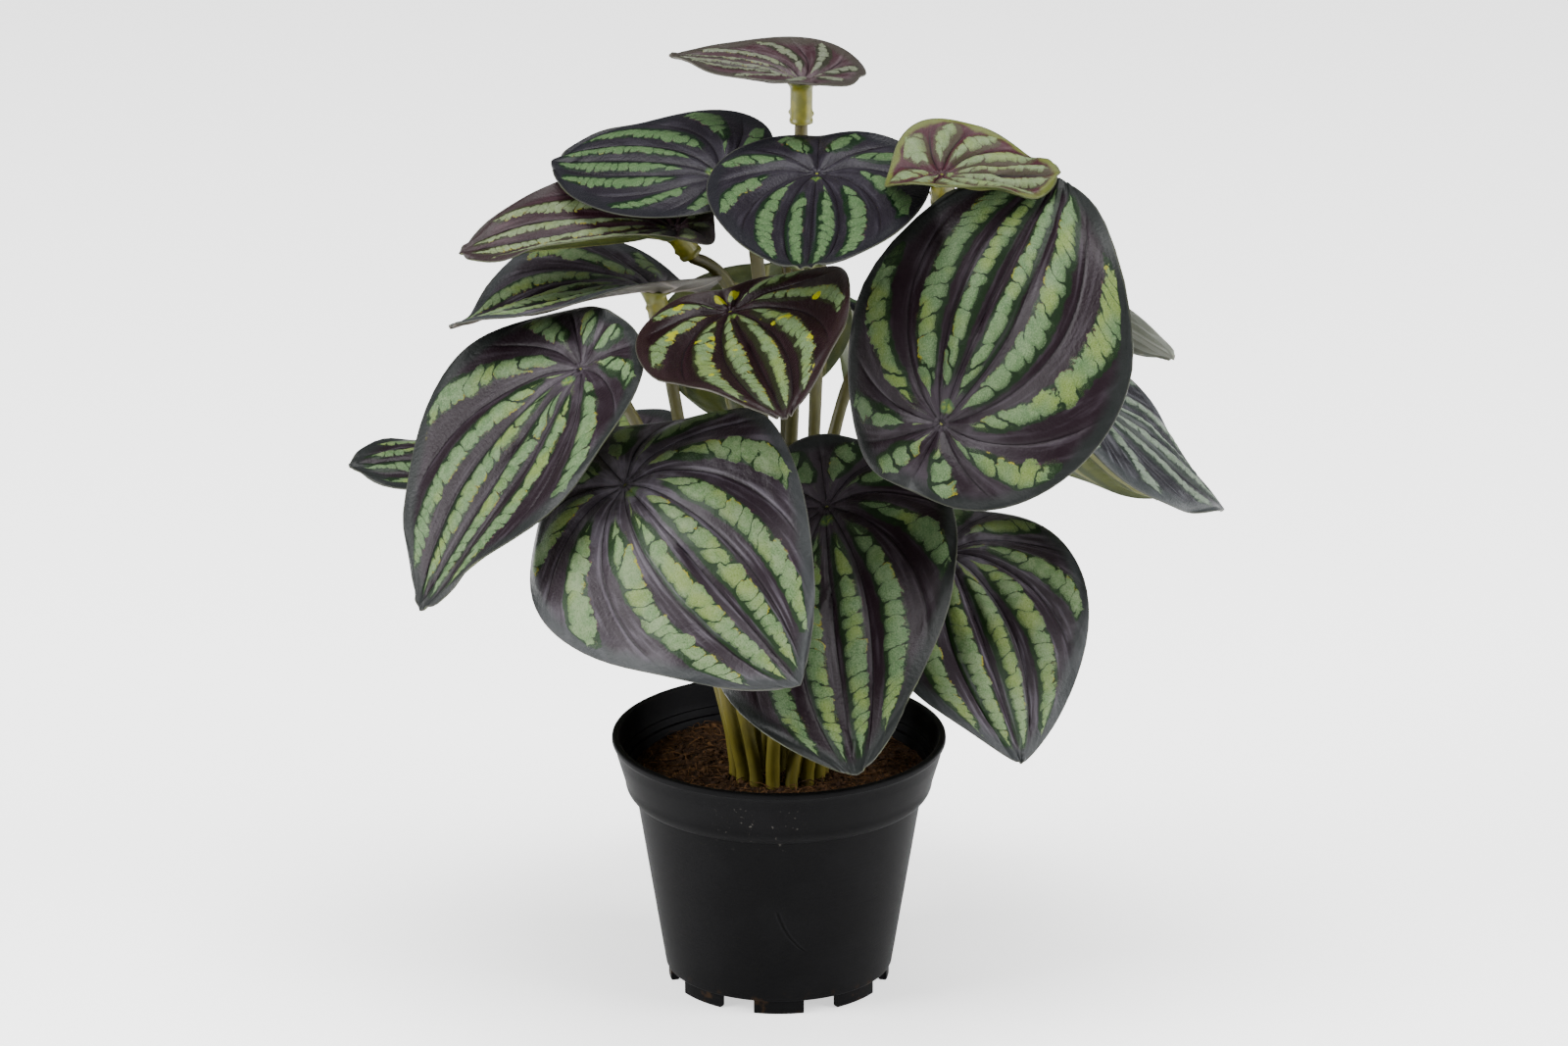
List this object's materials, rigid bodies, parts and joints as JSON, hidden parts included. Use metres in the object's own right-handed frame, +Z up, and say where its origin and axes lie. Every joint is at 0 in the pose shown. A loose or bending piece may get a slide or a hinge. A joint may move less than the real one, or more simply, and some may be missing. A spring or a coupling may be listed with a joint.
{
  "type": "potted peperomia",
  "caption": "Bushy striped-leaf peperomia on long petioles in a small black nursery pot filled with fibre.",
  "frame": {"origin": "centre of the pot's foot ring on the floor plane", "axes": "+Z up along the pot's axis, -Y the front of the plant, +X to its right"},
  "size_m": [0.273, 0.235, 0.2962],
  "materials": {
    "pot": "matt charcoal black moulding",
    "soil": "loose brown coconut fibre",
    "leaf": "satin, dark purple bands on the veins and pale green bands between them",
    "petiole": "satin olive yellow-green"
  },
  "bodies": {
    "root": {"pot": "pot", "soil": "soil", "leaf_top": "leaf", "stem_top": "petiole", "leaf_upper_left": "leaf", "stem_upper_left": "petiole", "leaf_crown": "leaf", "stem_crown": "petiole", "leaf_upper_right": "leaf", "stem_upper_right": "petiole", "leaf_left_maroon": "leaf", "stem_left_maroon": "petiole", "leaf_left_grey": "leaf", "stem_left_grey": "petiole", "leaf_big_left": "leaf", "stem_big_left": "petiole", "leaf_far_left": "leaf", "stem_far_left": "petiole", "leaf_lower_left": "leaf", "stem_lower_left": "petiole", "leaf_centre_maroon": "leaf", "stem_centre_maroon": "petiole", "leaf_big_right": "leaf", "stem_big_right": "petiole", "leaf_lower_centre": "leaf", "stem_lower_centre": "petiole", "leaf_lower_right": "leaf", "stem_lower_right": "petiole", "leaf_right_grey": "leaf", "stem_right_grey": "petiole", "leaf_right_under": "leaf", "stem_right_under": "petiole", "leaf_right_back": "leaf", "stem_right_back": "petiole", "leaf_back_left": "leaf", "stem_back_left": "petiole", "leaf_back_right": "leaf", "stem_back_right": "petiole", "leaf_rear_high": "leaf", "stem_rear_high": "petiole", "leaf_rear_left": "leaf", "stem_rear_left": "petiole", "leaf_rear_middle": "leaf", "stem_rear_middle": "petiole", "leaf_rear_right": "leaf", "stem_rear_right": "petiole"}
  },
  "joints": []
}
